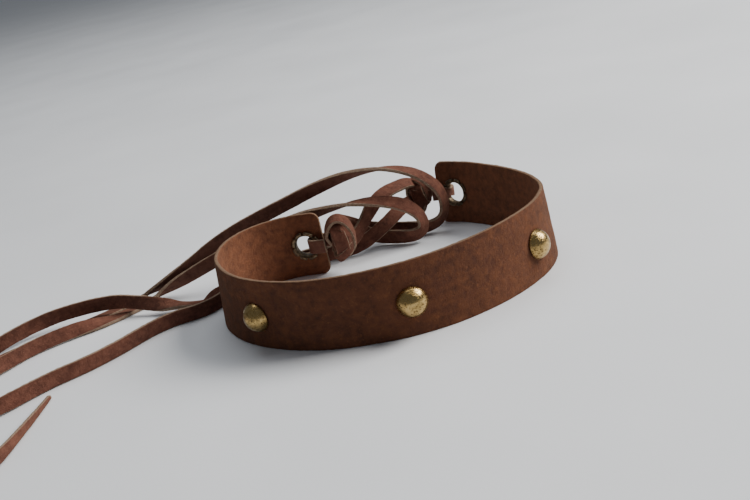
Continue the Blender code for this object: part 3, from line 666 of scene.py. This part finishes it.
def band_stations():
    """Distances along the strip with the corner inset, closer together on the rounded corners."""
    corner = []
    steps = 12
    first_turn = 12
    for step in range(steps + 1):
        angle = math.radians(first_turn + (90 - first_turn) * step / steps)
        along = END_CORNER_RADIUS * (1 - math.cos(angle - math.radians(first_turn)))
        corner.append((along, END_CORNER_RADIUS * (1 - math.sin(angle))))
    reach = corner[-1][0]
    count = round((STRIP_LENGTH - 2 * reach) / (0.8 * MM))
    middle = [(reach + (STRIP_LENGTH - 2 * reach) * step / count, 0.0) for step in range(1, count)]
    ending = [(STRIP_LENGTH - along, inset) for along, inset in reversed(corner)]
    return corner + middle + ending


def make_band(material):
    """The strip, with holes for the rivets and the eyelets."""
    stations = []
    for along, inset in band_stations():
        middle, _, outward, lean = strip_frame(along)
        across = Vector((0, 0, math.cos(lean))) - outward * math.sin(lean)
        stations.append((middle, across, outward, STRIP_HEIGHT - 2 * inset, STRIP_THICKNESS, along))
    band = sweep_strip("band_leather", stations, material, 34, 0.45 * MM)
    ruffle(band, 0.10 * MM, 9 * MM, 3.1)
    ruffle(band, 0.05 * MM, 1.6 * MM, 8.4, on_cut=2.6)
    for vertex in band.data.vertices:
        vertex.co.z = max(vertex.co.z, 0.02 * MM)
    cutters = [hole_cutter(stud_frame(side), STUD_HOLE_RADIUS) for side in STUD_PLACES]
    cutters += [hole_cutter(eyelet_frame(side), EYELET_HOLE_RADIUS) for side in EYELET_INSETS]
    for cutter in cutters:
        modifier = band.modifiers.new(cutter.name, "BOOLEAN")
        modifier.operation = "DIFFERENCE"
        modifier.solver = "EXACT"
        modifier.object = cutter
    settle(band)
    for cutter in cutters:
        bpy.data.objects.remove(cutter)
    return place_piece(band, "suede", "band")


def hole_cutter(frame, radius):
    """A plug that reaches right through the strip."""
    reach = 2 * STRIP_THICKNESS
    profile = [(0, -reach), (radius, -reach), (radius, reach), (0, reach)]
    return turned("hole_cutter", frame, profile, 48, bpy.data.materials.new("hole_side"))


def settle(obj):
    """Apply the modifiers by taking the evaluated mesh."""
    graph = bpy.context.evaluated_depsgraph_get()
    mesh = bpy.data.meshes.new_from_object(obj.evaluated_get(graph), preserve_all_data_layers=True,
                                           depsgraph=graph)
    obj.modifiers.clear()
    obj.data = mesh


# ---- Fittings -------------------------------------------------------------------------------------

def make_dome(side, material):
    """Domed cap seated on the outer face, with a rolled rim."""
    seat = STRIP_THICKNESS / 2 + SEAT_GAP
    profile = [(0, seat + 2.6 * MM), (1.8 * MM, seat + 2.6 * MM), (1.8 * MM, seat),
               (4.6 * MM, seat - 0.02 * MM),
               (DOME_RADIUS - 0.4 * MM, seat), (DOME_RADIUS - 0.12 * MM, seat + 0.08 * MM),
               (DOME_RADIUS, seat + 0.3 * MM), (DOME_RADIUS - 0.03 * MM, seat + 0.48 * MM)]
    for step in range(25):
        angle = DOME_ANGLE * (1 - step / 24)
        radius = (DOME_RADIUS - 0.06 * MM) * math.sin(angle) / math.sin(DOME_ANGLE)
        rise = (math.cos(angle) - math.cos(DOME_ANGLE)) / (1 - math.cos(DOME_ANGLE))
        profile.append((radius if step < 24 else 0, seat + DOME_RIM + (DOME_HEIGHT - DOME_RIM) * rise))
    dome = turned(f"rivet_dome_{side}", stud_frame(side), profile, 96, material)
    dent(dome, 0.02 * MM, 3.4 * MM, len(side))
    return place_piece(dome, "brass", f"stud_dome_{side}")


def make_post(side, material):
    """Back cap on the inner face, with the post that runs out into the dome."""
    seat = -STRIP_THICKNESS / 2 - BACK_SEAT_GAP
    reach = 3.3 * MM
    profile = [(0, reach), (POST_RADIUS - 0.2 * MM, reach), (POST_RADIUS, reach - 0.2 * MM),
               (POST_RADIUS, seat), (BACK_CAP_RADIUS - 0.3 * MM, seat),
               (BACK_CAP_RADIUS - 0.08 * MM, seat - 0.08 * MM),
               (BACK_CAP_RADIUS, seat - 0.3 * MM)]
    for step in range(17):
        angle = math.radians(90 * step / 16)
        radius = (BACK_CAP_RADIUS - 0.04 * MM) * math.cos(angle)
        out = seat - 0.45 * MM - (BACK_CAP_HEIGHT - 0.45 * MM) * math.sin(angle)
        profile.append((radius if step < 16 else 0, out))
    post = turned(f"rivet_post_{side}", stud_frame(side), profile, 72, material)
    dent(post, 0.03 * MM, 2.0 * MM, len(side) + 4)
    return place_piece(post, "brass", f"stud_post_{side}")


def make_eyelet(side, material):
    """Barrel with a rounded flange outside and a lip split into rolled petals inside."""
    outer = STRIP_THICKNESS / 2 + SEAT_GAP
    inner = -STRIP_THICKNESS / 2 - PETAL_GAPS[side]
    wall = EYELET_BORE_RADIUS + 0.4 * MM
    flange = [(4.9, 0.0), (6.15, 0.0), (6.38, 0.2), (6.3, 0.46), (5.95, 0.7), (5.5, 0.8), (5.08, 0.68),
              (4.7, 0.34), (4.5, -0.25)]
    lip = [(4.5, 0.5), (4.6, 0.05), (4.86, -0.36), (5.25, -0.62), (5.7, -0.7), (6.1, -0.6), (6.34, -0.34),
           (6.4, -0.06), (6.2, 0.06), (4.9, 0.05)]
    profile = [(radius * MM, outer + out * MM) for radius, out in flange]
    profile += [(radius * MM, inner + out * MM) for radius, out in lip]

    def radius_at(out, radius, angle):
        """Close the lip to the barrel's wall at each notch between petals."""
        if out > inner + 0.2 * MM or radius < wall:
            return radius
        share = (angle * PETAL_COUNT / math.tau + 0.07 * math.sin(3 * angle)) % 1.0
        from_notch = min(share, 1.0 - share) / 0.13
        closed = max(0.0, 1.0 - from_notch ** 2)
        return radius - closed * (radius - wall - 0.1 * MM)

    eyelet = turned(f"eyelet_{side}_ring", eyelet_frame(side), profile, PETAL_COUNT * 20, material, radius_at)
    dent(eyelet, 0.05 * MM, 1.5 * MM, len(side))
    return place_piece(eyelet, "antique_brass", f"eyelet_{side}")


# ---- Laces ----------------------------------------------------------------------------------------

def turn_points():
    """The loose turn that ends tail D, lying flat after its first fifth."""
    points = []
    for step in range(1, TURN_POINTS + 1):
        share = step / TURN_POINTS
        angle = math.radians(TURN_START_ANGLE + TURN_SWEEP * share)
        radius = TURN_RADII[0] + (TURN_RADII[1] - TURN_RADII[0]) * share
        upright = max(0.0, 1.0 - share * 5)
        points.append((TURN_CENTRE[0] + radius * math.cos(angle), TURN_CENTRE[1] + radius * math.sin(angle),
                       0.0, 0.6 * upright, -0.6 * upright, 1.0 - upright))
    return points


def make_tail(letter, side, route, material):
    """One free end of a lace, with the points that its middle follows."""
    rooted = [(*TAIL_ROOTS[letter], *route[0][3:])] + route
    placed = [(point[0] + CENTRING.x, point[1] + CENTRING.y, *point[2:]) for point in rooted]
    seed = ord(letter)
    stations = lace_stations(relaxed(smooth_path(placed, LACE_STEP)), TIP_TAPERS[letter], seed)
    stations = [pinched(station, ROOT_PINCH, station[5], ROOT_PINCH_REACH) for station in stations]
    node = f"lace_{side}_tail_{letter}"
    tail = sweep_strip(f"{node}_leather", stations, material, LACE_FACE_STEPS, LACE_CORNER)
    ruffle(tail, 0.05 * MM, 5 * MM, seed)
    ruffle(tail, 0.04 * MM, 0.8 * MM, seed + 5, on_cut=3.2)
    place_piece(tail, "lace", node)
    return tail


def make_bight(side, material):
    """The loop of lace through an eyelet, from one side of the knot to the other."""
    origin, axis_along, axis_out, _ = eyelet_frame(side)
    flat = smooth_path([(u * MM, v * MM) for u, v in BIGHTS[side]], 0.35 * MM)
    path = []
    for index, (u, v) in enumerate(flat):
        before = flat[max(index - 1, 0)]
        after = flat[min(index + 1, len(flat) - 1)]
        facing = axis_out * (after[0] - before[0]) - axis_along * (after[1] - before[1])
        path.append([*(origin + axis_along * u + axis_out * v), *facing])
    stations = lace_stations(path, wobble_seed=2.0, width=LACE_WIDTH * 0.97)
    stations = [pinched(station, BIGHT_PINCH[side], v, BIGHT_PINCH_REACH)
                for station, (_, v) in zip(stations, flat)]
    bight = sweep_strip(f"lace_{side}_bight_leather", stations, material, LACE_FACE_STEPS, LACE_CORNER)
    ruffle(bight, 0.05 * MM, 0.9 * MM, 4.0, on_cut=2.0)
    return place_piece(bight, "lace", f"lace_{side}_bight")


# Turns of a knot: axis of the turn, where it starts and how far it winds in degrees, shift along the axis,
# the share of the knot's half sizes that it winds on, and the lace's width there. The ends tuck inwards.
KNOT_TURNS = {
    "left": [((1.0, 0.22, 0.10), 140, 420, -0.16, (1.0, 1.06, 0.66), 5.9),
             ((0.06, 1.0, 0.10), 175, 250, 0.0, (1.1, 0.9, 1.02), 5.0),
             ((0.30, 1.0, 0.05), 275, 150, -0.42, (1.0, 1.0, 0.92), 2.6),
             ((-0.45, -0.30, 1.0), 80, 400, -0.70, (1.0, 1.05, 1.0), 3.8),
             ((0.85, -0.5, 0.30), 200, 380, 0.36, (0.90, 0.84, 0.82), 4.8)],
    "right": [((0.5, 0.85, 0.15), 40, 400, 0.0, (1.0, 0.95, 1.0), 5.8),
              ((0.9, -0.35, 0.2), 120, 400, 0.1, (0.92, 1.0, 0.86), 5.6),
              ((0.2, 0.3, 1.0), 80, 400, -0.3, (1.0, 0.97, 0.98), 5.0)]}


def knot_turn(side, number, turn, material):
    """One turn of lace wound round the knot's rounded outline, its two ends tucked inwards."""
    centre, half = KNOTS[side]
    axis, start, sweep, shift, shares, width = turn
    axis = Vector(axis).normalized()
    first = axis.cross(Vector((0, 0, 1)) if abs(axis.z) < 0.8 else Vector((1, 0, 0))).normalized()
    second = axis.cross(first)
    size = Vector((half.x * shares[0], half.y * shares[1], half.z * shares[2]))
    count = 110
    path = []
    for step in range(count + 1):
        share = step / count
        angle = math.radians(start + sweep * share)
        spoke = first * math.cos(angle) + second * math.sin(angle) + axis * shift
        reach = 1.0 / Vector((spoke.x / size.x, spoke.y / size.y, spoke.z / size.z)).length
        out = Vector((spoke.x / size.x ** 2, spoke.y / size.y ** 2, spoke.z / size.z ** 2)).normalized()
        start_tuck = 1.9 * max(0.0, 1.0 - share / 0.12)
        end_tuck = 2.1 * max(0.0, (share - 0.86) / 0.14)
        tuck = 0.85 + start_tuck + end_tuck
        path.append([*(centre + CENTRING + spoke * reach - out * tuck * MM), *out])
    stations = lace_stations(path, wobble_seed=number, width=width * MM, thickness=1.5 * MM)
    piece = sweep_strip(f"lace_{side}_knot_turn_{number}", stations, material, LACE_FACE_STEPS, LACE_CORNER)
    ruffle(piece, 0.12 * MM, 2.5 * MM, number + 1.5)
    ruffle(piece, 0.04 * MM, 0.8 * MM, number + 7.0, on_cut=2.0)
    return place_piece(piece, "lace")


def make_knot(side, material):
    """The turns of a knot round a plain lump that fills its middle."""
    turns = [knot_turn(side, number, turn, material) for number, turn in enumerate(KNOT_TURNS[side])]
    centre, half = KNOTS[side]
    work = bmesh.new()
    bmesh.ops.create_icosphere(work, subdivisions=4, radius=1.0)
    for vert in work.verts:
        vert.co = Vector((vert.co.x * half.x, vert.co.y * half.y, vert.co.z * half.z)) * 0.66
        vert.co *= 1.0 + 0.12 * noise.noise(vert.co / (3 * MM))
        vert.co += centre + CENTRING
    verts = [vert.co.copy() for vert in work.verts]
    faces = [tuple(vert.index for vert in face.verts) for face in work.faces]
    work.free()
    uvs = [(vert.x, vert.z) for vert in verts]
    plain = [0.0] * len(verts)
    core = make_object(f"lace_{side}_knot_core", verts, faces, material, plain, uvs, plain)
    place_piece(core, "lace")
    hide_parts(f"lace_{side}_knot")
    return [*turns, core]


# ---- Scene ----------------------------------------------------------------------------------------

def lace_material():
    """Reddish-brown thonging with pale cut edges."""
    return leather_material("lace_leather",
                            tones=[(0.048, 0.019, 0.014), (0.132, 0.049, 0.033), (0.27, 0.115, 0.075)],
                            cut_tones=[(0.19, 0.13, 0.09), (0.38, 0.28, 0.20)],
                            inner_tone=(0.17, 0.085, 0.062), cut_end=0.5, nap_scale=2600,
                            streak=(90, 900, 1))


def suede_material():
    """Dark brown suede, warmer on its inner side."""
    return leather_material("suede_leather",
                            tones=[(0.047, 0.019, 0.013), (0.114, 0.043, 0.025), (0.24, 0.090, 0.038)],
                            cut_tones=[(0.14, 0.085, 0.052), (0.26, 0.18, 0.12)],
                            inner_tone=(0.28, 0.112, 0.058), cut_end=1.0, nap_scale=2400,
                            streak=(120, 420, 1))


def build():
    """Stage, materials and pieces."""
    make_camera()
    make_world()
    make_light("window", place=(1.15, 0.10, 1.0), size=0.85, power=37.0, colour=(1.0, 0.97, 0.93))
    make_light("ceiling", place=(0.0, 0.7, 1.6), size=1.4, power=11.0, colour=(0.96, 0.98, 1.0))
    make_table(table_material())
    lace = lace_material()
    suede = suede_material()
    antique = antique_material()
    brass = brass_material()
    left = make_knot("left", lace) + [make_bight("left", lace)]
    right = make_knot("right", lace) + [make_bight("right", lace)]
    make_tail("a", "left", TAIL_A, lace)
    make_tail("b", "left", TAIL_B, lace)
    make_tail("c", "right", TAIL_C, lace)
    make_tail("d", "right", TAIL_D + turn_points(), lace)
    make_band(suede)
    for side in STUD_PLACES:
        make_dome(side, brass)
        make_post(side, brass)
    for side in EYELET_INSETS:
        make_eyelet(side, antique)


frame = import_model()
build()
